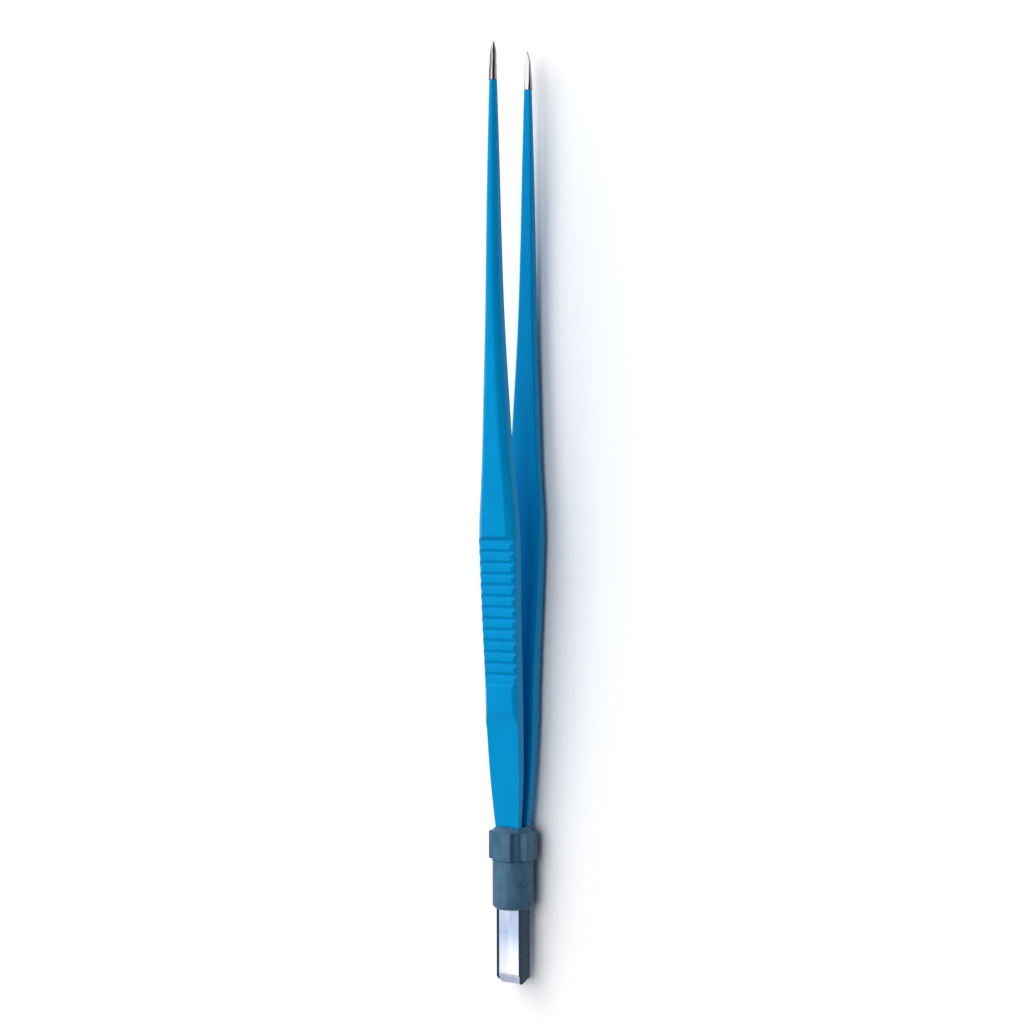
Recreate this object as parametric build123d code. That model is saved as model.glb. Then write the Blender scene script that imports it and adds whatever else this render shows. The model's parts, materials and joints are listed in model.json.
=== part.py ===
from build123d import *
import os
from math import atan, atan2, degrees, pi, tan

# Bipolar forceps: two coated steel spring arms held in a moulded plug housing.
# Working frame: Y runs along the axis from the mouth of the housing (Y 0) to the tips,
# X is across the arms, and the arms open along Z, the near arm above and the far arm below.
# At the end the whole is laid down on the far arm's back, as it comes to rest on a table.
# All lengths are in millimetres.

# Arms, along the axis from the mouth of the housing
ARM_LENGTH = 166.5
BARE_TIP = 8.2
SPRING_LENGTH = 19.7
RAMP_END = 24.7
PAD_END = 30.6
STEP_START = 61.65
STEP_RUN = 0.45
COATING = 0.3
COATING_IN_HOUSING = 1.5
TONGUE_DEPTH = 7.0
SMALLEST_RADIUS = 0.05

# Arm blank before its back is milled, station by station:
# along the axis, width, half of the gap, thickness, bevel across, bevel down,
# radius of the back's edges, radius of the shoulders, radius of the inner edges
ARM_STATIONS = (
    (0.0, 5.85, 0.95, 3.25, 0.80, 0.70, 0.35, 0.35, 0.35),
    (8.0, 7.05, 1.15, 3.25, 0.80, 0.70, 0.35, 0.35, 0.35),
    (SPRING_LENGTH, 7.85, 1.60, 3.38, 0.80, 0.70, 0.35, 0.35, 0.35),
    (PAD_END, 7.95, 1.95, 3.40, 0.85, 0.70, 0.35, 0.50, 0.35),
    (45.0, 8.50, 2.80, 3.50, 1.20, 0.90, 0.40, 1.10, 0.35),
    (56.0, 9.00, 3.37, 3.54, 1.48, 1.10, 0.45, 1.50, 0.35),
    (62.0, 9.12, 3.68, 3.62, 1.62, 1.21, 0.50, 1.60, 0.38),
    (66.0, 8.87, 3.84, 3.62, 1.55, 1.30, 0.60, 1.65, 0.40),
    (70.0, 8.20, 4.00, 3.60, 1.42, 1.35, 0.80, 1.70, 0.42),
    (76.5, 7.10, 4.28, 3.60, 1.30, 1.36, 1.10, 1.70, 0.45),
    (91.0, 5.50, 4.80, 3.53, 1.25, 1.34, 1.60, 1.60, 0.50),
    (108.0, 3.92, 5.28, 3.37, 1.12, 1.28, 1.60, 1.45, 0.58),
    (125.0, 3.05, 5.65, 2.98, 0.92, 1.12, 1.15, 1.20, 0.62),
    (141.5, 2.40, 5.94, 2.34, 0.74, 0.86, 0.85, 0.90, 0.55),
    (ARM_LENGTH - BARE_TIP, 1.52, 6.25, 1.55, 0.48, 0.53, 0.54, 0.54, 0.40),
)
SPRING_THICK_MOUTH = 1.45
SPRING_THICK_END = 2.35
RAMP_BOW = 0.25

# Thumb grip: a field milled into the back, with grooves across it
FIELD_SINK_PAD = 0.33
FIELD_THICK_STEP = 3.1
GROOVES = 13
GROOVE_FIRST = 32.5
GROOVE_PITCH = 2.375
GROOVE_RADIUS = 0.66
GROOVE_DEPTH = 0.45

# Bare tips, round with a flat inner face: distance back from the point, diameter
TIP_STATIONS = ((BARE_TIP, 1.80), (4.5, 1.50), (1.4, 1.00), (0.24, 0.34))
TIP_END_RADIUS = 0.16
TIP_GAP_HALF = 6.5
TIP_STEP_INWARD = 0.04

# Housing
HOUSING_LENGTH = 17.6
MOUTH_RADIUS = 3.35
RIM_RADIUS = 4.4
RIM_DEPTH = 0.84
RIM_BAND = 0.3
COLLAR_RADIUS = 4.05
LUG_REACH = 4.75
LUG_WIDTH = 4.45
LUG_TOP = 1.02
LUG_EDGE_DEPTH = 1.27
LUG_BOTTOM = 7.23
LUG_ROUND = 0.5
NECK_RADIUS = 4.41
NECK_CHAMFER = 0.65
POCKET_ROUND = 0.3
ARM_CLEARANCE = 0.15

# Insulating core, with the spine of the plug below the housing
PLUG_LENGTH = 15.9
PLUG_WIDTH = 6.5
PLUG_THICK = 3.3
PLUG_EDGE = 0.15
KEY_CUT_ACROSS = 1.4
KEY_CUT_ALONG = 1.15
CORE_TOP = 0.4
CORE_WEB_DEPTH = 8.0
CORE_STEM_WIDTH = 5.6

# Contact blades let into the two flat faces of the plug
BLADE_WIDTH = 5.15
BLADE_THICK = 0.8
BLADE_PROUD = 0.1
BLADE_EDGE = 0.12
BLADE_SIDE_GAP = 0.05
BLADE_LEAD_IN = 1.9
BLADE_LEAD_DROP = 0.45
BLADE_TAIL_TOP = 8.6
BLADE_TAIL_WIDTH = 3.6
BLADE_TAIL_DROP = 0.1

# Insulating pins through both tongues and the core
PIN_DIAMETER = 1.2
PIN_SPACING = 2.6
PIN_DEPTH = 4.2
PIN_END_GAP = 0.15
PIN_HOLE_CLEARANCE = 0.1

# Potting compound around the core's stem
POTTING_TOP = 9.6
POTTING_BOTTOM = 16.9

# A size larger than anything on the object, for cutting tools
FAR = 40.0


def between(along, column):
    """Value of one column of the arm's stations at a distance from the mouth."""
    stations = ARM_STATIONS
    if along <= stations[0][0]:
        return stations[0][column]
    for low, high in zip(stations, stations[1:]):
        if along <= high[0]:
            share = (along - low[0]) / (high[0] - low[0])
            return low[column] + share * (high[column] - low[column])
    return stations[-1][column]


def half_gap(along):
    return between(along, 2)


def blank_back(along):
    """Height of the blank's back above the middle plane."""
    return between(along, 2) + between(along, 3)


def arm_section(along, station, inset=0.0):
    """Six-sided outline of the arm with rounded corners, shrunk all round by inset."""
    _, width, gap, thick, across, down, back_edge, shoulder_edge, inner_edge = station
    turn = atan2(down, across)
    half = width / 2 - inset
    flat = width / 2 - across - inset * tan(turn / 2)
    shoulder = gap + thick - down - inset * tan((pi / 2 - turn) / 2)
    back = gap + thick - inset
    front = gap + inset
    corners = ((-half, front), (half, front), (half, shoulder), (flat, back), (-flat, back), (-half, shoulder))
    edges = (inner_edge, inner_edge, shoulder_edge, back_edge, back_edge, shoulder_edge)
    outline = FilletPolyline(
        *[(x, along, z) for x, z in corners],
        radius=[max(edge - inset, SMALLEST_RADIUS) for edge in edges],
        close=True,
    )
    return make_face(outline)


def arm_blank(inset, start, inner_start):
    """Tapering bar through all the stations, carried back into the housing."""
    root = ARM_STATIONS[0]
    sections = [arm_section(start, root, inset), arm_section(inner_start, root, inset)]
    sections += [arm_section(station[0], station, inset) for station in ARM_STATIONS]
    return loft(sections, ruled=True)


def across_prism(outline):
    """Solid as wide as any part of the arm, from points (along, height) in its side view."""
    face = make_face(Polyline(*[(0, along, height) for along, height in outline], close=True))
    return extrude(face, FAR / 2, dir=(1, 0, 0), both=True)


def back_relief(inset):
    """What is milled off the blank's back over the spring, up to the ramp's end."""
    mouth = half_gap(0) + SPRING_THICK_MOUTH - inset
    low = half_gap(SPRING_LENGTH) + SPRING_THICK_END - inset
    high = blank_back(RAMP_END) - inset
    slope = (low - mouth) / SPRING_LENGTH
    ramp_end = RAMP_END + inset
    middle = (SPRING_LENGTH + ramp_end) / 2
    middle_height = low + RAMP_BOW * (high - low + slope * (ramp_end - SPRING_LENGTH))
    side = Line((0, -FAR, mouth), (0, 0, mouth))
    side += Line((0, 0, mouth), (0, SPRING_LENGTH, low))
    side += ThreePointArc((0, SPRING_LENGTH, low), (0, middle, middle_height), (0, ramp_end, high))
    side += Polyline((0, ramp_end, high), (0, ramp_end, FAR), (0, -FAR, FAR), (0, -FAR, mouth))
    return extrude(make_face(side), FAR / 2, dir=(1, 0, 0), both=True)


def field_height(along):
    """Height of the thumb grip's milled field, a straight line between its two ends."""
    low = blank_back(PAD_END) - FIELD_SINK_PAD
    high = half_gap(STEP_START) + FIELD_THICK_STEP
    return low + (high - low) * (along - PAD_END) / (STEP_START - PAD_END)


def field_relief(inset):
    low_end = PAD_END - inset
    high_end = STEP_START + inset
    step_end = high_end + STEP_RUN
    return across_prism((
        (low_end, field_height(low_end) - inset),
        (high_end, field_height(high_end) - inset),
        (step_end, blank_back(step_end)),
        (step_end, FAR),
        (low_end - FIELD_SINK_PAD, FAR),
        (low_end - FIELD_SINK_PAD, blank_back(PAD_END)),
    ))


def grooves(inset):
    """Cutters for the grooves across the thumb grip."""
    cutters = []
    for number in range(GROOVES):
        along = GROOVE_FIRST + number * GROOVE_PITCH
        height = field_height(along) + GROOVE_RADIUS - GROOVE_DEPTH
        cutter = Cylinder(GROOVE_RADIUS + inset, FAR, rotation=(0, 90, 0))
        cutters.append(Pos(0, along, height) * cutter)
    return cutters


def milled_arm(inset, start, inner_start):
    """The arm blank with its spring, ramp, pad, thumb grip and grooves."""
    blank = arm_blank(inset, start, inner_start)
    return blank - back_relief(inset) - field_relief(inset) - grooves(inset)


def tip_centre(from_point):
    """Height of the bare tip's centre line at a distance back from its point."""
    base = half_gap(ARM_LENGTH - BARE_TIP) + ARM_STATIONS[-1][3] / 2
    point = TIP_GAP_HALF + TIP_END_RADIUS
    return point + (base - point) * from_point / BARE_TIP


def bare_tip():
    """Bullet-shaped bare tip, round in section, with the flat inner face that grips tissue."""
    sections = []
    for from_point, diameter in TIP_STATIONS:
        centre = (0, ARM_LENGTH - from_point, tip_centre(from_point))
        sections.append(Plane(centre, x_dir=(1, 0, 0), z_dir=(0, 1, 0)) * Circle(diameter / 2))
    end = Pos(0, ARM_LENGTH - TIP_END_RADIUS, tip_centre(TIP_END_RADIUS)) * Sphere(TIP_END_RADIUS)
    base_gap = half_gap(ARM_LENGTH - BARE_TIP) - TIP_STEP_INWARD
    inner_side = across_prism((
        (ARM_LENGTH - BARE_TIP, -FAR),
        (ARM_LENGTH - BARE_TIP, base_gap),
        (ARM_LENGTH, TIP_GAP_HALF),
        (ARM_LENGTH, -FAR),
    ))
    return loft(sections) + end - inner_side


def below(depth):
    """Plane across the axis, at a depth below the mouth; its X is X and its Y is Z."""
    return Plane.XZ.offset(depth)


def bar(width, thick, top, bottom, middle=0.0, edge=0.0):
    """Rectangular bar along the axis between two depths, its middle at a height above the axis."""
    outline = RectangleRounded(width, thick, edge) if edge else Rectangle(width, thick)
    return extrude(below(top) * Pos(0, middle) * outline, bottom - top)


def pin_holes(diameter):
    length = 2 * pocket_half
    pins = [Cylinder(diameter / 2, length), Cylinder(diameter / 2, length)]
    return [Pos(side * PIN_SPACING / 2, -PIN_DEPTH, 0) * pin for side, pin in zip((-1, 1), pins)]


def lug_pair():
    """Near and far lug in one bar: tops that slope down outwards, outer and lower edges rounded."""
    outline = Polyline(
        (0, -LUG_TOP, RIM_RADIUS),
        (0, -LUG_EDGE_DEPTH, LUG_REACH),
        (0, -LUG_BOTTOM, LUG_REACH),
        (0, -LUG_BOTTOM, -LUG_REACH),
        (0, -LUG_EDGE_DEPTH, -LUG_REACH),
        (0, -LUG_TOP, -RIM_RADIUS),
        close=True,
    )
    block = extrude(make_face(outline), LUG_WIDTH / 2, dir=(1, 0, 0), both=True)
    lower = block.edges().group_by(Axis.Y)[0]
    return fillet(lower, LUG_ROUND)


def make_housing():
    """Moulded sleeve: coned rim, collar with four lugs in a cross, round neck, and a pocket right through."""
    rim_foot = RIM_DEPTH + RIM_BAND
    chamfer_radius = NECK_RADIUS - NECK_CHAMFER
    side = Polyline(
        (0, 0),
        (MOUTH_RADIUS, 0),
        (RIM_RADIUS, -RIM_DEPTH),
        (RIM_RADIUS, -rim_foot),
        (COLLAR_RADIUS, -rim_foot),
        (COLLAR_RADIUS, -LUG_BOTTOM),
        (NECK_RADIUS, -LUG_BOTTOM),
        (NECK_RADIUS, NECK_CHAMFER - HOUSING_LENGTH),
        (chamfer_radius, -HOUSING_LENGTH),
        (0, -HOUSING_LENGTH),
        close=True,
    )
    turned = revolve(make_face(side), Axis.Y)
    lugs = lug_pair()
    pocket = bar(2 * pocket_side, 2 * pocket_half, 0, HOUSING_LENGTH, edge=POCKET_ROUND)
    return turned + lugs + Rot(0, 90, 0) * lugs - pocket


def key_cut():
    """Block whose slanting face takes the near left corner off the plug's end, down to its far face."""
    end = -(HOUSING_LENGTH + PLUG_LENGTH)
    left = -PLUG_WIDTH / 2
    near = PLUG_THICK / 2
    on_end = Vector(left + KEY_CUT_ACROSS, end, near)
    on_side = Vector(left, end + KEY_CUT_ALONG, near)
    far_corner = Vector(left, end, -near)
    slant = Plane(on_end, x_dir=on_side - on_end, z_dir=(on_side - on_end).cross(far_corner - on_end))
    return slant * Box(FAR, FAR, FAR, align=(Align.CENTER, Align.CENTER, Align.MIN))


def make_blade():
    """Near contact blade: flat strip with bevelled edges, a lead-in and a narrower, thinner tail."""
    end = HOUSING_LENGTH + PLUG_LENGTH
    face = PLUG_THICK / 2 + BLADE_PROUD
    middle = face - BLADE_THICK / 2
    strip = bar(BLADE_WIDTH, BLADE_THICK, HOUSING_LENGTH, end, middle)
    long_edges = strip.edges().filter_by(Axis.Y).group_by(Axis.Z)[-1]
    strip = chamfer(long_edges, BLADE_EDGE)
    lead_in = across_prism((
        (-end, face - BLADE_LEAD_DROP),
        (BLADE_LEAD_IN - end, face),
        (BLADE_LEAD_IN - end, FAR),
        (-FAR, FAR),
        (-FAR, face - BLADE_LEAD_DROP),
    ))
    tail_thick = BLADE_THICK - BLADE_TAIL_DROP
    tail_middle = middle - BLADE_TAIL_DROP / 2
    tail = bar(BLADE_TAIL_WIDTH, tail_thick, BLADE_TAIL_TOP, HOUSING_LENGTH, tail_middle)
    return strip - lead_in + tail - key_cut()


def make_core():
    """Web between the arms, stem through the housing, and the spine of the plug."""
    end = HOUSING_LENGTH + PLUG_LENGTH
    floor = PLUG_THICK / 2 + BLADE_PROUD - BLADE_THICK
    web = bar(2 * pocket_side, 2 * web_half, CORE_TOP, CORE_WEB_DEPTH)
    stem = bar(CORE_STEM_WIDTH, PLUG_THICK, CORE_WEB_DEPTH, HOUSING_LENGTH)
    spine = bar(PLUG_WIDTH, PLUG_THICK, HOUSING_LENGTH, end, edge=PLUG_EDGE)
    seat_width = BLADE_WIDTH + 2 * BLADE_SIDE_GAP
    tail_width = BLADE_TAIL_WIDTH + 2 * BLADE_SIDE_GAP
    seat = bar(seat_width, PLUG_THICK, HOUSING_LENGTH, end, floor + PLUG_THICK / 2)
    seat += bar(tail_width, PLUG_THICK, BLADE_TAIL_TOP, HOUSING_LENGTH, floor + PLUG_THICK / 2)
    corner = key_cut()
    cutters = [seat, half_turn * seat, corner, half_turn * corner, *pin_holes(PIN_DIAMETER)]
    return web + stem + spine - cutters


# Room for the arms in the housing's pocket, and the web that stands between them
pocket_side = ARM_STATIONS[0][1] / 2 + ARM_CLEARANCE
pocket_half = half_gap(0) + SPRING_THICK_MOUTH + ARM_CLEARANCE
web_half = half_gap(0) - ARM_CLEARANCE
half_turn = Rot(0, 180, 0)

outer_form = milled_arm(0.0, -COATING_IN_HOUSING, -COATING_IN_HOUSING / 2)
steel_form = milled_arm(COATING, -TONGUE_DEPTH, -TONGUE_DEPTH / 2)
near_coating = outer_form - steel_form
near_arm = steel_form + bare_tip() - pin_holes(PIN_DIAMETER + 2 * PIN_HOLE_CLEARANCE)

near_blade = make_blade()
far_blade = half_turn * near_blade
core = make_core()
pin = Cylinder(PIN_DIAMETER / 2, 2 * (pocket_half - PIN_END_GAP))
potting = bar(2 * pocket_side, 2 * pocket_half, POTTING_TOP, POTTING_BOTTOM, edge=POCKET_ROUND)

pieces = {
    "housing": make_housing(),
    "core": core,
    "potting": potting - core - near_blade - far_blade,
    "near_blade": near_blade,
    "far_blade": far_blade,
    "left_pin": Pos(-PIN_SPACING / 2, -PIN_DEPTH, 0) * pin,
    "right_pin": Pos(PIN_SPACING / 2, -PIN_DEPTH, 0) * pin,
    "near_arm": near_arm,
    "near_coating": near_coating,
    "far_arm": mirror(near_arm, about=Plane.XY),
    "far_coating": mirror(near_coating, about=Plane.XY),
}

# Laid down, the forceps rest on the far lug's top edge and the back of the far arm
rest_slope = max((blank_back(station[0]) - LUG_REACH) / (station[0] + LUG_EDGE_DEPTH) for station in ARM_STATIONS)
laid_down = Rot(degrees(atan(rest_slope)), 0, 0)
laid = {name: laid_down * piece for name, piece in pieces.items()}
box = Compound(list(laid.values())).bounding_box()
onto_table = Pos(-box.center().X, -box.center().Y, -box.min.Z)

os.makedirs("parts", exist_ok=True)
for name, piece in laid.items():
    export_step(onto_table * piece, f"parts/{name}.step")
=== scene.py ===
import json
import math

import bmesh
import bpy
import numpy as np
from mathutils import Matrix, Vector


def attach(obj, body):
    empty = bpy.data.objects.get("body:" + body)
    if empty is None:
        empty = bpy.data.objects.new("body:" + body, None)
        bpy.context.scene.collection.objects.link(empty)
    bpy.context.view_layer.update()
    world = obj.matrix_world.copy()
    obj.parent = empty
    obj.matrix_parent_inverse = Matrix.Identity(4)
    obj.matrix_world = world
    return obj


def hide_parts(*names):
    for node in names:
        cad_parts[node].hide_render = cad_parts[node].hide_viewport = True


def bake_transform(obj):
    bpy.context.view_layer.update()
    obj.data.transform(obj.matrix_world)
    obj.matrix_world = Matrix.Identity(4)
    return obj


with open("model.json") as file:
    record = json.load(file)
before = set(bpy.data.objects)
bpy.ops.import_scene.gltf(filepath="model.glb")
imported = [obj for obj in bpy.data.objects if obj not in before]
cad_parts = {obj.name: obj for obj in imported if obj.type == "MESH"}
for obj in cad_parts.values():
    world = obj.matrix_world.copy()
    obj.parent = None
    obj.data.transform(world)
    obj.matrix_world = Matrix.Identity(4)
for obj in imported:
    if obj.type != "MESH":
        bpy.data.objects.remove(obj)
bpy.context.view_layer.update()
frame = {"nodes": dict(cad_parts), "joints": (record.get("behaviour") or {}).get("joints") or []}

# Steel of the two spring arms
# Each arm is one tapering bar of hardened stainless steel, forged, milled and polished at its bare tip.
# Its tongue is held in the housing by two pins, and it bends as a leaf spring just above the mouth.

# The forceps' own frame, in millimetres: the origin is the middle of the housing's mouth,
# Y runs to the tips, Z opens the arms and X is across them.
hinge = {joint["name"]: Vector(joint["pos_m"]) for joint in frame["joints"]}
mouth = (hinge["near_flex"] + hinge["far_flex"]) / 2
opening = (hinge["near_flex"] - hinge["far_flex"]).normalized()
across_arms = Vector((1, 0, 0))
along_axis = opening.cross(across_arms)
turned = Matrix((across_arms, along_axis, opening)).transposed().to_4x4()
laid = Matrix.Translation(mouth) @ turned @ Matrix.Scale(0.001, 4)

ARM_LENGTH = 166.5
BARE_TIP = 8.2
COATED_LENGTH = ARM_LENGTH - BARE_TIP
TONGUE_DEPTH = 7.0
SPRING_LENGTH = 19.7
RAMP_END = 24.7
PAD_END = 30.6
STEP_START = 61.65
STEP_RUN = 0.45
COATING = 0.3

# Along the axis, width, half of the gap, thickness, bevel across, bevel down,
# radius of the back's edges, radius of the shoulders, radius of the inner edges
ARM_STATIONS = np.array((
    (0.0, 5.85, 0.95, 3.25, 0.80, 0.70, 0.35, 0.35, 0.35),
    (8.0, 7.05, 1.15, 3.25, 0.80, 0.70, 0.35, 0.35, 0.35),
    (SPRING_LENGTH, 7.85, 1.60, 3.38, 0.80, 0.70, 0.35, 0.35, 0.35),
    (PAD_END, 7.95, 1.95, 3.40, 0.85, 0.70, 0.35, 0.50, 0.35),
    (45.0, 8.50, 2.80, 3.50, 1.20, 0.90, 0.40, 1.10, 0.35),
    (56.0, 9.00, 3.37, 3.54, 1.48, 1.10, 0.45, 1.50, 0.35),
    (62.0, 9.12, 3.68, 3.62, 1.62, 1.21, 0.50, 1.60, 0.38),
    (66.0, 8.87, 3.84, 3.62, 1.55, 1.30, 0.60, 1.65, 0.40),
    (70.0, 8.20, 4.00, 3.60, 1.42, 1.35, 0.80, 1.70, 0.42),
    (76.5, 7.10, 4.28, 3.60, 1.30, 1.36, 1.10, 1.70, 0.45),
    (91.0, 5.50, 4.80, 3.53, 1.25, 1.34, 1.60, 1.60, 0.50),
    (108.0, 3.92, 5.28, 3.37, 1.12, 1.28, 1.60, 1.45, 0.58),
    (125.0, 3.05, 5.65, 2.98, 0.92, 1.12, 1.15, 1.20, 0.62),
    (141.5, 2.40, 5.94, 2.34, 0.74, 0.86, 0.85, 0.90, 0.55),
    (COATED_LENGTH, 1.52, 6.25, 1.55, 0.48, 0.53, 0.54, 0.54, 0.40),
))
SPRING_THICK_MOUTH = 1.45
SPRING_THICK_END = 2.35
FIELD_SINK_PAD = 0.33
FIELD_THICK_STEP = 3.1
GROOVES = 13
GROOVE_FIRST = 32.5
GROOVE_PITCH = 2.375
GROOVE_RADIUS = 0.66
GROOVE_DEPTH = 0.45
MILLED_EDGE = 0.26
COATING_REACH = 0.2
TIP_STATIONS = ((BARE_TIP, 1.80), (4.5, 1.50), (1.4, 1.00), (0.24, 0.34))
TIP_END_RADIUS = 0.16
TIP_GAP_HALF = 6.5
TIP_STEP_INWARD = 0.04
GRIP_SPACING = 0.095
SHARP_ANGLE = 38


def smooth_through(x, knots, values):
    """Smooth curve through the values at the knots."""
    steps = np.diff(knots)
    rises = np.diff(values) / steps
    inner = (rises[:-1] * steps[1:] + rises[1:] * steps[:-1]) / (steps[:-1] + steps[1:])
    slopes = np.concatenate((rises[:1], inner, rises[-1:]))
    x = np.clip(x, knots[0], knots[-1])
    i = np.clip(np.searchsorted(knots, x) - 1, 0, len(steps) - 1)
    t = (x - knots[i]) / steps[i]
    start = (1 + 2 * t) * (1 - t) ** 2 * values[i] + t * (1 - t) ** 2 * steps[i] * slopes[i]
    return start + t * t * (3 - 2 * t) * values[i + 1] - t * t * (1 - t) * steps[i] * slopes[i + 1]


def station(along):
    """Width, half gap, thickness, bevel across, bevel down and edge radii at places along the arm."""
    return [smooth_through(along, ARM_STATIONS[:, 0], ARM_STATIONS[:, column]) for column in range(1, 9)]


def milled_back(along):
    """Height of the arm's milled back: leaf spring, ramp, pad, sunk grip field with its grooves, and step."""
    _, gap, thick, *_ = station(along)
    _, gaps, thicks, *_ = station(np.array((0.0, SPRING_LENGTH, RAMP_END, PAD_END, STEP_START)))
    backs = gaps + thicks
    start = gaps[0] + SPRING_THICK_MOUTH
    low = gaps[1] + SPRING_THICK_END
    slope = (low - start) / SPRING_LENGTH
    share = np.clip((along - SPRING_LENGTH) / (RAMP_END - SPRING_LENGTH), 0, 1)
    rise = backs[2] - low - slope * (RAMP_END - SPRING_LENGTH)
    spring = start + slope * np.maximum(along, 0) + rise * share ** 2
    back = np.where(along < RAMP_END, np.minimum(spring, gap + thick), gap + thick)
    sunk = backs[3] - FIELD_SINK_PAD
    stepped = gaps[4] + FIELD_THICK_STEP

    def field(place):
        return sunk + (stepped - sunk) * (place - PAD_END) / (STEP_START - PAD_END)

    walls = np.maximum(PAD_END - along, (along - STEP_START) * (backs[4] - stepped) / STEP_RUN)
    milled = field(along) + np.maximum(walls, 0)
    for middle in GROOVE_FIRST + GROOVE_PITCH * np.arange(GROOVES):
        away = np.minimum(np.abs(along - middle), GROOVE_RADIUS)
        floor = field(middle) + GROOVE_RADIUS - GROOVE_DEPTH - np.sqrt(GROOVE_RADIUS ** 2 - away ** 2)
        milled = np.where(away < GROOVE_RADIUS, np.minimum(milled, floor), milled)
    return np.where((along > PAD_END - 1) & (along < STEP_START + 1), np.minimum(back, milled), back)


def softened_back(along):
    """The milled back with its edges rounded by the coating, averaged over a short reach."""
    weights = (1, 4, 6, 4, 1)
    offsets = np.linspace(-COATING_REACH, COATING_REACH, len(weights))
    return sum(w * milled_back(along + offset) for w, offset in zip(weights, offsets)) / sum(weights)


def rounded_corners(corners, radii, arc_points, edge_points):
    """Closed outline with rounded corners, always with the same number of points."""
    outline = []
    count = len(corners)
    cuts = []
    for i in range(count):
        p, before, after = corners[i], corners[i - 1], corners[(i + 1) % count]
        a, b = before - p, after - p
        la, lb = np.hypot(*a), np.hypot(*b)
        cosine = np.clip(-(a @ b) / (la * lb), -1, 1)
        reach = min(radii[i] * math.tan(math.acos(cosine) / 2), 0.45 * la, 0.45 * lb)
        cuts.append((p + a / la * reach, p + b / lb * reach))
    for i in range(count):
        start, end = cuts[i]
        for t in np.linspace(0, 1, arc_points):
            outline.append((1 - t) ** 2 * start + 2 * t * (1 - t) * corners[i] + t * t * end)
        following = cuts[(i + 1) % count][0]
        for t in np.linspace(0, 1, edge_points + 2)[1:-1]:
            outline.append(end + t * (following - end))
    return np.array(outline)


def arm_ring(along, values, back, inset):
    """One cross-section of the near arm, shrunk all round by inset, as points in the forceps' frame."""
    width, gap, thick, across, down, back_edge, shoulder_edge, inner_edge = values
    turn = math.atan2(down, across)
    half = width / 2 - inset
    front = gap + inset
    full = gap + thick - inset
    shoulder = gap + thick - down - inset * math.tan((math.pi / 2 - turn) / 2)
    flat = width / 2 - across - inset * math.tan(turn / 2)
    top = min(full, back - inset)
    cut = full - top
    if top > shoulder + 0.02:
        flat += cut * across / down
        low = shoulder
    else:
        flat = half - 0.01
        low = top - 0.02
    back_edge = max(back_edge - inset, 0.05)
    back_edge += (MILLED_EDGE - back_edge) * min(cut / 0.25, 1)
    shoulder_edge = max(shoulder_edge - inset, 0.05)
    inner_edge = max(inner_edge - inset, 0.05)
    corners = np.array(((half, front), (half, low), (flat, top), (-flat, top), (-half, low), (-half, front)))
    radii = (inner_edge, shoulder_edge, back_edge, back_edge, shoulder_edge, inner_edge)
    outline = rounded_corners(corners, radii, 7, 2)
    return np.column_stack((outline[:, 0], np.full(len(outline), along), outline[:, 1]))


def places_along(start, end):
    """Places of the arm's cross-sections, close together over the grip and its grooves."""
    grip = np.arange(PAD_END - 0.8, STEP_START + STEP_RUN + 0.6, GRIP_SPACING)
    spring = np.linspace(start, SPRING_LENGTH - 1, 26)
    ramp = np.linspace(SPRING_LENGTH, PAD_END - 1, 28)
    taper = np.linspace(STEP_START + 1.2, end, 90)
    return np.sort(np.concatenate((spring, ramp, taper, grip)))


def arm_rings(places, inset):
    """Cross-sections of the near arm at the places, shrunk all round by inset."""
    columns = station(places)
    backs = softened_back(places)
    return [arm_ring(u, [c[i] for c in columns], backs[i], inset) for i, u in enumerate(places)]


def skin(name, rings, side=1, looped=False):
    """Mesh over a row of rings with equal counts; side -1 mirrors it to the far arm."""
    rings = np.array(rings)
    rings[:, :, 2] *= side
    rows, count = rings.shape[:2]
    faces = []
    for row in range(rows if looped else rows - 1):
        here, there = row * count, (row + 1) % rows * count
        for k in range(count):
            following = (k + 1) % count
            faces.append((here + k, here + following, there + following, there + k))
    if not looped:
        faces.append(tuple(range(count))[::-1])
        faces.append(tuple((rows - 1) * count + k for k in range(count)))
    mesh = bpy.data.meshes.new(name)
    mesh.from_pydata(rings.reshape(-1, 3).tolist(), [], faces)
    mesh.transform(laid)
    piece = bpy.data.objects.new(name, mesh)
    bpy.context.collection.objects.link(piece)
    tidy_skin(mesh)
    return piece


def tidy_skin(mesh):
    """Merges points that meet, faces everything outwards and smooths all but sharp edges."""
    work = bmesh.new()
    work.from_mesh(mesh)
    bmesh.ops.remove_doubles(work, verts=work.verts, dist=2e-7)
    bmesh.ops.recalc_face_normals(work, faces=work.faces)
    work.to_mesh(mesh)
    work.free()
    mesh.shade_smooth()
    mesh.set_sharp_from_angle(angle=math.radians(SHARP_ANGLE))


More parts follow.
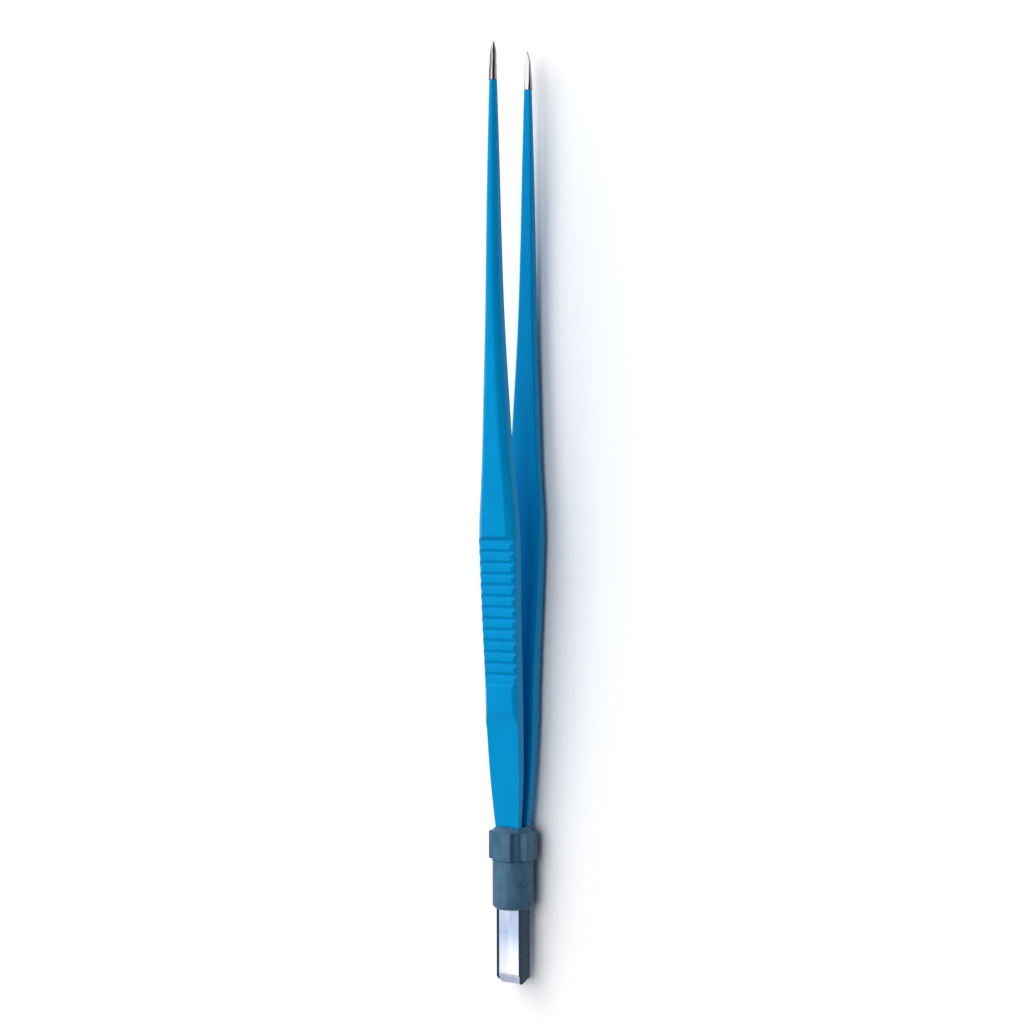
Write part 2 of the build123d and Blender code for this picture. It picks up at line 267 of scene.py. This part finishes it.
def tip_rings(count):
    """Cross-sections of the bullet-shaped bare tip, with its flat inner face."""
    base_gap = ARM_STATIONS[-1, 2] - TIP_STEP_INWARD
    base_middle = ARM_STATIONS[-1, 2] + ARM_STATIONS[-1, 3] / 2
    end_middle = TIP_GAP_HALF + TIP_END_RADIUS
    knots = np.array(sorted(TIP_STATIONS))
    angles = -np.pi / 4 + 2 * np.pi * np.arange(count) / count
    rings = []
    distances = list(np.linspace(BARE_TIP, TIP_STATIONS[-1][0], 40)) + [0.28, 0.2, 0.12, 0.06, 0.02, 0.0]
    for distance in distances:
        if distance >= TIP_STATIONS[-1][0]:
            radius = float(smooth_through(np.array([distance]), knots[:, 0], knots[:, 1])[0]) / 2
        else:
            drop = 1 - distance / TIP_STATIONS[-1][0]
            radius = TIP_STATIONS[-1][1] / 2 * math.sqrt(max(1 - drop ** 2, 0.0025))
        share = distance / BARE_TIP
        middle = end_middle + (base_middle - end_middle) * share
        flat = TIP_GAP_HALF + (base_gap - TIP_GAP_HALF) * share
        x = radius * np.cos(angles)
        z = np.maximum(middle + radius * np.sin(angles), flat)
        rings.append(np.column_stack((x, np.full(count, ARM_LENGTH - distance), z)))
    return rings


def colour(code):
    """Linear colour of an sRGB hex code."""
    parts = [int(code[i:i + 2], 16) / 255 for i in (1, 3, 5)]
    return [c / 12.92 if c <= 0.04045 else ((c + 0.055) / 1.055) ** 2.4 for c in parts] + [1.0]


def add_node(tree, kind, inputs=(), **settings):
    """Adds a node with its settings; an input is a value or the output that feeds it."""
    node = tree.nodes.new(kind)
    for name, value in settings.items():
        setattr(node, name, value)
    for name, value in dict(inputs).items():
        if isinstance(value, bpy.types.NodeSocket):
            tree.links.new(value, node.inputs[name])
        else:
            node.inputs[name].default_value = value
    return node


def new_material(name):
    """An empty material and its node tree."""
    material = bpy.data.materials.new(name)
    material.use_nodes = True
    material.node_tree.nodes.clear()
    return material, material.node_tree


def in_millimetres(tree, stretch=(1, 1, 1)):
    """Places on the piece in millimetres, squeezed by a stretch along each axis."""
    place = add_node(tree, "ShaderNodeTexCoord")
    scale = [1000 / s for s in stretch]
    mapping = add_node(tree, "ShaderNodeMapping", {"Vector": place.outputs["Object"], "Scale": scale})
    return mapping.outputs["Vector"]


def stainless_steel(name, dark, light, rough):
    """Stainless steel with faint lengthwise lines, 0.08 mm apart: coarser than real, so that they show."""
    material, tree = new_material(name)
    lines = add_node(tree, "ShaderNodeTexNoise", {
        "Vector": in_millimetres(tree, (0.08, 3.0, 0.08)), "Scale": 1.0, "Detail": 3.0})
    clouds = add_node(tree, "ShaderNodeTexNoise", {
        "Vector": in_millimetres(tree, (1.5, 4.0, 1.5)), "Scale": 1.0})
    tint = add_node(tree, "ShaderNodeMix", {"Factor": clouds.outputs["Fac"], "A": colour(dark),
                                            "B": colour(light)}, data_type="RGBA")
    gloss = add_node(tree, "ShaderNodeMapRange", {"Value": lines.outputs["Fac"], "To Min": rough,
                                                  "To Max": rough + 0.12})
    relief = add_node(tree, "ShaderNodeBump", {"Height": lines.outputs["Fac"], "Strength": 0.12,
                                               "Distance": 0.00002})
    surface = add_node(tree, "ShaderNodeBsdfPrincipled", {
        "Base Color": tint.outputs["Result"], "Metallic": 1.0, "Roughness": gloss.outputs["Result"],
        "Normal": relief.outputs["Normal"]})
    add_node(tree, "ShaderNodeOutputMaterial", {"Surface": surface.outputs["BSDF"]})
    return material


# The round outside of the tips is polished steel painted dark, as painted shade for its dark reflections;
# their flat gripping faces are ground, rougher steel painted lighter, as painted reflection of the bright
# studio.
steel_painted_shade = stainless_steel("stainless_steel_painted_shade", "#857E82", "#9C9599", 0.10)
steel_painted_reflection = stainless_steel("stainless_steel_painted_reflection", "#BBB9B8", "#CAC9C7", 0.30)

coating_end = laid @ Vector((0, COATED_LENGTH, 0))
sides = {"near": 1, "far": -1}
for end, side in sides.items():
    rings = arm_rings(places_along(-TONGUE_DEPTH, COATED_LENGTH), COATING)
    rings += tip_rings(len(rings[0]))
    arm = skin(f"{end}_spring_arm", rings, side)
    arm.data.materials.append(steel_painted_shade)
    arm.data.materials.append(steel_painted_reflection)
    # Painted reflection and shade: faces of the bare tip that look towards the other arm take the lighter
    # steel, and the rest take the darker.
    inwards = -side * opening
    for face in arm.data.polygons:
        if face.center.y > coating_end.y and face.normal.dot(inwards) > 0.95:
            face.material_index = 1
    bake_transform(arm)
    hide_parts(f"{end}_arm")

# Insulating coating of the arms
# Blue polyamide, fused on from powder as a skin 0.3 mm thick all round each arm, smooth and satin.
# It rounds the milled edges, runs into the housing, and ends in a thin rim round the bare tip.
COATING_IN_HOUSING = 1.5
RIM_ROUNDING = ((0.14, 0.0), (0.08, 0.012), (0.03, 0.05), (0.0, 0.11))


def coating_rings():
    """Cross-sections out along the coating's outside, round its rim and back along the steel."""
    places = places_along(-COATING_IN_HOUSING, COATED_LENGTH - 0.3)
    rings = arm_rings(places, 0.0)
    for distance, inset in RIM_ROUNDING:
        rings += arm_rings(np.array([COATED_LENGTH - distance]), inset)
    inner_places = np.append(places, COATED_LENGTH)[::-1]
    return rings + arm_rings(inner_places, COATING)


# Fused polyamide: satin, a little cloudy, with a faint orange-peel surface about 0.7 mm across.
coating_material, tree = new_material("fused_polyamide_satin")
peel = add_node(tree, "ShaderNodeTexNoise", {"Vector": in_millimetres(tree), "Scale": 1.4, "Detail": 3.0,
                                             "Roughness": 0.55})
cloud = add_node(tree, "ShaderNodeTexNoise", {"Vector": in_millimetres(tree, (3.0, 9.0, 3.0)), "Scale": 1.0,
                                              "Detail": 2.0})
tint = add_node(tree, "ShaderNodeMix", {"Factor": cloud.outputs["Fac"], "A": colour("#0087C0"),
                                        "B": colour("#0093CF")}, data_type="RGBA")
gloss = add_node(tree, "ShaderNodeMapRange", {"Value": peel.outputs["Fac"], "To Min": 0.30, "To Max": 0.44})
relief = add_node(tree, "ShaderNodeBump", {
    "Height": peel.outputs["Fac"], "Strength": 0.10, "Distance": 0.00005})
surface = add_node(tree, "ShaderNodeBsdfPrincipled", {
    "Base Color": tint.outputs["Result"], "Roughness": gloss.outputs["Result"], "IOR": 1.53,
    "Specular IOR Level": 0.2, "Specular Tint": colour("#2FA8E6"), "Normal": relief.outputs["Normal"]})
add_node(tree, "ShaderNodeOutputMaterial", {"Surface": surface.outputs["BSDF"]})

for end, side in sides.items():
    coating = skin(f"{end}_insulating_coating", coating_rings(), side, looped=True)
    coating.data.materials.append(coating_material)
    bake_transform(coating)
    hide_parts(f"{end}_coating")

# Housing
# Moulded sleeve of slate-blue glass-filled polyamide, with a coned collar, four finger lugs in a cross
# and a round neck. The arms and the core are pushed into its pocket and potted there.
HOUSING_LENGTH = 17.6
MOUTH_RADIUS = 3.35
RIM_RADIUS = 4.4
RIM_DEPTH = 0.84
RIM_BAND = 0.3
COLLAR_RADIUS = 4.05
LUG_REACH = 4.75
LUG_WIDTH = 4.45
LUG_TOP = 1.02
LUG_EDGE_DEPTH = 1.27
LUG_BOTTOM = 7.23
LUG_ROUND = 0.5
LUG_EDGE = 0.1
NECK_RADIUS = 4.41
NECK_CHAMFER = 0.65
NECK_EDGE = 0.12
POCKET_SIDE = 3.075
POCKET_HALF = 2.55
POCKET_ROUND = 0.3
CONE_FALL = RIM_DEPTH / (RIM_RADIUS - MOUTH_RADIUS)
LUG_FALL = (LUG_EDGE_DEPTH - LUG_TOP) / (LUG_REACH - RIM_RADIUS)
THIN_WALL = 0.04
RIM_FOOT = RIM_DEPTH + RIM_BAND
NECK_END = HOUSING_LENGTH - NECK_CHAMFER
HOUSING_POINTS = 720


def soft_min(a, b, reach):
    """The lesser of two values, blended where they are closer than reach."""
    share = np.clip(0.5 + 0.5 * (b - a) / reach, 0, 1)
    return b * (1 - share) + a * share - reach * share * (1 - share)


def soft_max(a, b, reach):
    """The greater of two values, blended where they are closer than reach."""
    return -soft_min(-a, -b, reach)


housing_angles = 2 * np.pi * (np.arange(HOUSING_POINTS) + 0.5) / HOUSING_POINTS
run, rise = np.abs(np.cos(housing_angles)), np.abs(np.sin(housing_angles))
pocket_radius = soft_min(POCKET_SIDE / run, POCKET_HALF / rise, POCKET_ROUND)
pocket_wall = pocket_radius + THIN_WALL


def lug_outline(depth):
    """Distance from the axis to the collar and its lugs, all round, at a depth below the mouth."""
    if depth <= RIM_FOOT:
        collar = np.full(HOUSING_POINTS, min(MOUTH_RADIUS + depth / CONE_FALL, RIM_RADIUS))
    else:
        collar = np.full(HOUSING_POINTS, COLLAR_RADIUS)
    if depth < LUG_TOP:
        return collar
    low = max(depth - (LUG_BOTTOM - LUG_ROUND), 0)
    drawn_in = LUG_ROUND - math.sqrt(max(LUG_ROUND ** 2 - low ** 2, 0))
    half = LUG_WIDTH / 2 - drawn_in
    reach = min(LUG_REACH - drawn_in, RIM_RADIUS + (depth - LUG_TOP) / LUG_FALL)
    flats = soft_min(half / rise, reach / run, LUG_EDGE), soft_min(half / run, reach / rise, LUG_EDGE)
    return soft_max(collar, np.maximum(*flats), 0.03)


def housing_ring(depth, radius):
    """Ring of the housing, which stops at the pocket where its cone or chamfer would cut through the wall."""
    highest = np.maximum((pocket_wall - MOUTH_RADIUS) * CONE_FALL, 0)
    lowest = np.minimum(HOUSING_LENGTH - (pocket_wall - (NECK_RADIUS - NECK_CHAMFER)), HOUSING_LENGTH)
    depths = np.clip(np.full(HOUSING_POINTS, depth), highest, lowest)
    return np.column_stack((radius * np.cos(housing_angles), -depths, radius * np.sin(housing_angles)))


def outer_ring(depth, radius):
    """Ring of the housing's outside, nowhere closer to the axis than the pocket's thin wall."""
    return housing_ring(depth, np.maximum(radius, pocket_wall))


# Depths of the rings below the mouth, closer together wherever an edge is broken.
cone = np.linspace(0.08, RIM_DEPTH - 0.05, 10)
rim = (RIM_DEPTH - 0.01, RIM_DEPTH + 0.04)
lug_tops = (LUG_TOP - 0.002, LUG_TOP, LUG_TOP + 0.03, LUG_TOP + 0.07)
collar_top = (RIM_FOOT - 0.001, RIM_FOOT + 0.002)
lug_edges = (LUG_EDGE_DEPTH - 0.05, LUG_EDGE_DEPTH, LUG_EDGE_DEPTH + 0.04)
lug_sides = np.linspace(1.5, LUG_BOTTOM - LUG_ROUND, 12)
lug_bottoms = LUG_BOTTOM - LUG_ROUND * (1 - np.sin(np.linspace(0.15, 1, 9) * np.pi / 2))
lug_depths = np.concatenate((cone, rim, lug_tops, collar_top, lug_edges, lug_sides, lug_bottoms))
end_radius = NECK_RADIUS - NECK_CHAMFER
neck_profile = (
    (LUG_BOTTOM, NECK_RADIUS - NECK_EDGE), (LUG_BOTTOM + 0.035, NECK_RADIUS - 0.035),
    (LUG_BOTTOM + NECK_EDGE, NECK_RADIUS), (LUG_BOTTOM + 3, NECK_RADIUS),
    (NECK_END - 3, NECK_RADIUS), (NECK_END - 0.06, NECK_RADIUS),
    (NECK_END + 0.01, NECK_RADIUS - 0.03), (NECK_END + 0.09, NECK_RADIUS - 0.09),
    (HOUSING_LENGTH - 0.08, end_radius + 0.08), (HOUSING_LENGTH - 0.015, end_radius - 0.02),
    (HOUSING_LENGTH, end_radius - 0.1),
)
rings = [outer_ring(depth, MOUTH_RADIUS - inset) for depth, inset in ((0.0, 0.1), (0.03, 0.03))]
rings += [outer_ring(depth, lug_outline(depth)) for depth in lug_depths]
rings += [outer_ring(depth, radius) for depth, radius in neck_profile]
rings += [housing_ring(depth, pocket_radius) for depth in (HOUSING_LENGTH, 12.0, 6.0, 0.0)]
housing = skin("moulded_housing", rings, looped=True)

# Moulded glass-filled polyamide: matt slate blue with a fine eroded mould texture, about 0.15 mm, and a
# faint speckle of fibre near the surface. The texture is drawn coarser than real.
housing_material, tree = new_material("moulded_polyamide_slate")
grain = add_node(tree, "ShaderNodeTexNoise", {"Vector": in_millimetres(tree), "Scale": 6.0, "Detail": 4.0})
flow = add_node(tree, "ShaderNodeTexNoise", {"Vector": in_millimetres(tree, (2.0, 3.5, 2.0)), "Scale": 1.0,
                                             "Detail": 3.0})
mottle = add_node(tree, "ShaderNodeMapRange", {
    "Value": flow.outputs["Fac"], "From Min": 0.3, "From Max": 0.7})
tint = add_node(tree, "ShaderNodeMix", {"Factor": mottle.outputs["Result"], "A": colour("#385A75"),
                                        "B": colour("#4B6F88")}, data_type="RGBA")
gloss = add_node(tree, "ShaderNodeMapRange", {"Value": grain.outputs["Fac"], "To Min": 0.42, "To Max": 0.62})
relief = add_node(tree, "ShaderNodeBump", {
    "Height": grain.outputs["Fac"], "Strength": 0.25, "Distance": 0.00005})
surface = add_node(tree, "ShaderNodeBsdfPrincipled", {
    "Base Color": tint.outputs["Result"], "Roughness": gloss.outputs["Result"], "IOR": 1.53,
    "Specular IOR Level": 0.3, "Specular Tint": colour("#9FC4E4"), "Normal": relief.outputs["Normal"]})
add_node(tree, "ShaderNodeOutputMaterial", {"Surface": surface.outputs["BSDF"]})
housing.data.materials.append(housing_material)
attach(housing, "plug_end")
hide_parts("housing")

# Core, potting and pins
# The core is moulded in dark slate plastic: it parts the two arms and goes on as the spine of the flat plug.
# The pins that hold the tongues are of natural plastic, and grey resin closes the housing round the core.
# Moulded plastic: dark and satin, clouded by a mould texture drawn coarser than real so that it shows.
core_material, tree = new_material("moulded_plastic_dark_slate")
grain = add_node(tree, "ShaderNodeTexNoise", {"Vector": in_millimetres(tree, (1.0, 2.0, 1.0)), "Scale": 5.0,
                                              "Detail": 4.0})
tint = add_node(tree, "ShaderNodeMix", {"Factor": grain.outputs["Fac"], "A": colour("#12283A"),
                                        "B": colour("#1F3B4F")}, data_type="RGBA")
gloss = add_node(tree, "ShaderNodeMapRange", {"Value": grain.outputs["Fac"], "To Min": 0.22, "To Max": 0.36})
relief = add_node(tree, "ShaderNodeBump", {
    "Height": grain.outputs["Fac"], "Strength": 0.2, "Distance": 0.00004})
surface = add_node(tree, "ShaderNodeBsdfPrincipled", {
    "Base Color": tint.outputs["Result"], "Roughness": gloss.outputs["Result"], "IOR": 1.58,
    "Specular IOR Level": 0.35, "Specular Tint": colour("#9FC4E4"), "Normal": relief.outputs["Normal"]})
add_node(tree, "ShaderNodeOutputMaterial", {"Surface": surface.outputs["BSDF"]})

# Cast epoxy: nearly glossy, with slow swirls where it was poured.
resin_material, tree = new_material("cast_epoxy_grey")
swirl = add_node(tree, "ShaderNodeTexNoise", {"Vector": in_millimetres(tree), "Scale": 0.8, "Detail": 4.0})
tint = add_node(tree, "ShaderNodeMix", {"Factor": swirl.outputs["Fac"], "A": colour("#2B3037"),
                                        "B": colour("#3C434C")}, data_type="RGBA")
surface = add_node(tree, "ShaderNodeBsdfPrincipled", {
    "Base Color": tint.outputs["Result"], "Roughness": 0.32, "IOR": 1.55})
add_node(tree, "ShaderNodeOutputMaterial", {"Surface": surface.outputs["BSDF"]})

# Turned natural plastic: creamy, with rings 0.1 mm apart along the pin, coarser than real.
pin_material, tree = new_material("turned_plastic_natural")
turning = add_node(tree, "ShaderNodeTexNoise", {
    "Vector": in_millimetres(tree, (0.4, 0.4, 0.1)), "Scale": 1.0})
tint = add_node(tree, "ShaderNodeMix", {"Factor": turning.outputs["Fac"], "A": colour("#CFC7B4"),
                                        "B": colour("#DDD6C6")}, data_type="RGBA")
surface = add_node(tree, "ShaderNodeBsdfPrincipled", {
    "Base Color": tint.outputs["Result"], "Roughness": 0.45, "IOR": 1.5})
add_node(tree, "ShaderNodeOutputMaterial", {"Surface": surface.outputs["BSDF"]})


def finish_node(name, material):
    """Gives a part that keeps its own solid a better surface."""
    mesh = frame["nodes"][name].data
    mesh.materials.clear()
    mesh.materials.append(material)


finish_node("core", core_material)
finish_node("potting", resin_material)
finish_node("left_pin", pin_material)
finish_node("right_pin", pin_material)

# Contact blades
# Two flat strips of nickel-plated brass let into the faces of the plug, brushed along their length,
# with broken edges, a lead-in at the end and a tail that runs up under the potting. Their colour is a painted
# reflection, stepped along each blade: lighter towards the plug's end and bluer towards the housing.
# Nickel plate: brushing lines 0.09 mm apart, coarser than real, and a painted reflection stepped along the
# blade, its steps blotched by noise.
blade_material, tree = new_material("nickel_plate_brushed")
brushing = add_node(tree, "ShaderNodeTexNoise", {
    "Vector": in_millimetres(tree, (0.09, 6.0, 0.09)), "Scale": 1.0, "Detail": 4.0})
ramp_blotches = add_node(tree, "ShaderNodeTexNoise", {
    "Vector": in_millimetres(tree, (1.6, 5.0, 1.6)), "Scale": 1.0, "Detail": 3.0})
place = add_node(tree, "ShaderNodeTexCoord")
length = add_node(tree, "ShaderNodeSeparateXYZ", {"Vector": place.outputs["Generated"]})
blurred = add_node(tree, "ShaderNodeMath", {0: ramp_blotches.outputs["Fac"], 1: 0.12, 2: length.outputs["Y"]},
                   operation="MULTIPLY_ADD")
# Painted reflection: the plating's colour steps along the blade from near white to lilac blue, with the steps
# blurred by the blotches.
painted_reflection = add_node(tree, "ShaderNodeValToRGB", {"Fac": blurred.outputs["Value"]})
reflection_steps = ((0.10, "#C3CCE0"), (0.16, "#F4F5FB"), (0.34, "#E3E9F6"), (0.48, "#B7C8E6"), (0.66, "#C3CCE2"))
for spot, _ in reflection_steps[2:]:
    painted_reflection.color_ramp.elements.new(spot)
for element, (spot, tone) in zip(painted_reflection.color_ramp.elements, reflection_steps):
    element.position = spot
    element.color = colour(tone)
gloss = add_node(tree, "ShaderNodeMapRange", {
    "Value": brushing.outputs["Fac"], "To Min": 0.26, "To Max": 0.42})
relief = add_node(tree, "ShaderNodeBump", {
    "Height": brushing.outputs["Fac"], "Strength": 0.3, "Distance": 0.00003})
surface = add_node(tree, "ShaderNodeBsdfPrincipled", {
    "Base Color": painted_reflection.outputs["Color"], "Metallic": 1.0, "Roughness": gloss.outputs["Result"],
    "Anisotropic": 0.4, "Normal": relief.outputs["Normal"]})
add_node(tree, "ShaderNodeOutputMaterial", {"Surface": surface.outputs["BSDF"]})
finish_node("near_blade", blade_material)
finish_node("far_blade", blade_material)

# Floor, light and camera
# A pale paper sweep, a key softbox on the left beyond the tips, a large softbox overhead and a studio that is
# bright above and dark on the right.
FLOOR_SIZE = 3.0
floor_mesh = bpy.data.meshes.new("paper_floor")
half = FLOOR_SIZE / 2
floor_corners = [(-half, -half, 0), (half, -half, 0), (half, half, 0), (-half, half, 0)]
floor_mesh.from_pydata(floor_corners, [], [(0, 1, 2, 3)])
floor = bpy.data.objects.new("paper_floor", floor_mesh)
bpy.context.collection.objects.link(floor)
# Matt paper: off-white, with fibre clouds about 2 mm across, coarser than real.
paper, tree = new_material("matt_paper_pale")
fibres = add_node(tree, "ShaderNodeTexNoise", {"Vector": in_millimetres(tree), "Scale": 0.5, "Detail": 3.0})
tint = add_node(tree, "ShaderNodeMix", {"Factor": fibres.outputs["Fac"], "A": colour("#F8F8F8"),
                                        "B": colour("#FCFCFC")}, data_type="RGBA")
surface = add_node(tree, "ShaderNodeBsdfPrincipled", {"Base Color": tint.outputs["Result"], "Roughness": 0.9})
add_node(tree, "ShaderNodeOutputMaterial", {"Surface": surface.outputs["BSDF"]})
floor_mesh.materials.append(paper)


def softbox(name, place, size, power):
    """A square softbox that faces the forceps, with its side in metres and its power in watts."""
    light = bpy.data.lights.new(name, "AREA")
    light.shape = "RECTANGLE"
    light.size = light.size_y = size
    light.energy = power
    lamp = bpy.data.objects.new(name, light)
    lamp.location = place
    lamp.rotation_mode = "QUATERNION"
    lamp.rotation_quaternion = (-Vector(place)).to_track_quat("-Z", "Y")
    bpy.context.collection.objects.link(lamp)


softbox("key_softbox", (-0.9, 1.35, 1.3), 1.2, 15.0)
softbox("top_softbox", (-0.05, 0.1, 2.2), 1.5, 22.5)

# The studio is bright high on the left and falls off all round, most of all to the right.
BRIGHTEST = Vector((-0.5, -0.05, 0.865))
world = bpy.data.worlds.new("studio")
bpy.context.scene.world = world
world.use_nodes = True
tree = world.node_tree
tree.nodes.clear()
direction = add_node(tree, "ShaderNodeTexCoord")
facing_sky = add_node(tree, "ShaderNodeVectorMath", {0: direction.outputs["Generated"], 1: BRIGHTEST},
                      operation="DOT_PRODUCT")
fall_off = add_node(tree, "ShaderNodeValToRGB", {"Fac": facing_sky.outputs["Value"]})
sky_steps = ((0.0, "#33393F"), (0.35, "#4A5057"), (0.58, "#8B9199"), (0.78, "#E6E8EB"), (1.0, "#FCFCFD"))
for spot, _ in sky_steps[2:]:
    fall_off.color_ramp.elements.new(spot)
for element, (spot, tone) in zip(fall_off.color_ramp.elements, sky_steps):
    element.position = spot
    element.color = colour(tone)
sky = add_node(tree, "ShaderNodeBackground", {"Color": fall_off.outputs["Color"], "Strength": 1.0})
add_node(tree, "ShaderNodeOutputWorld", {"Surface": sky.outputs["Background"]})
bpy.context.scene.view_settings.view_transform = "Standard"

# The camera looks square on to the axis, from 33 degrees round towards the arms' right side.
CAMERA_ROUND = math.radians(32.78)
CAMERA_DISTANCE = 454.9
CAMERA_ALONG = 72.58
CAMERA_NOD = math.radians(-0.682)
CAMERA_ROLL = math.radians(-0.17)
FOCAL_PIXELS = 2127
PICTURE_PIXELS = 1024
SENSOR = 36.0
sideways = Vector((math.cos(CAMERA_ROUND), 0, -math.sin(CAMERA_ROUND)))
outwards = Vector((math.sin(CAMERA_ROUND), 0, math.cos(CAMERA_ROUND)))
upwards = Vector((0, 1, 0))
back = outwards * math.cos(CAMERA_NOD) - upwards * math.sin(CAMERA_NOD)
top = upwards * math.cos(CAMERA_NOD) + outwards * math.sin(CAMERA_NOD)
right = sideways * math.cos(CAMERA_ROLL) + top * math.sin(CAMERA_ROLL)
top = top * math.cos(CAMERA_ROLL) - sideways * math.sin(CAMERA_ROLL)
camera_data = bpy.data.cameras.new("camera")
camera_data.sensor_width = SENSOR
camera_data.lens = FOCAL_PIXELS * SENSOR / PICTURE_PIXELS
camera_data.clip_start = 0.01
camera = bpy.data.objects.new("camera", camera_data)
bpy.context.collection.objects.link(camera)
facing = turned @ Matrix((right, top, back)).transposed().to_4x4()
station_point = laid @ (outwards * CAMERA_DISTANCE + upwards * CAMERA_ALONG)
camera.matrix_world = Matrix.Translation(station_point) @ facing
bpy.context.scene.camera = camera
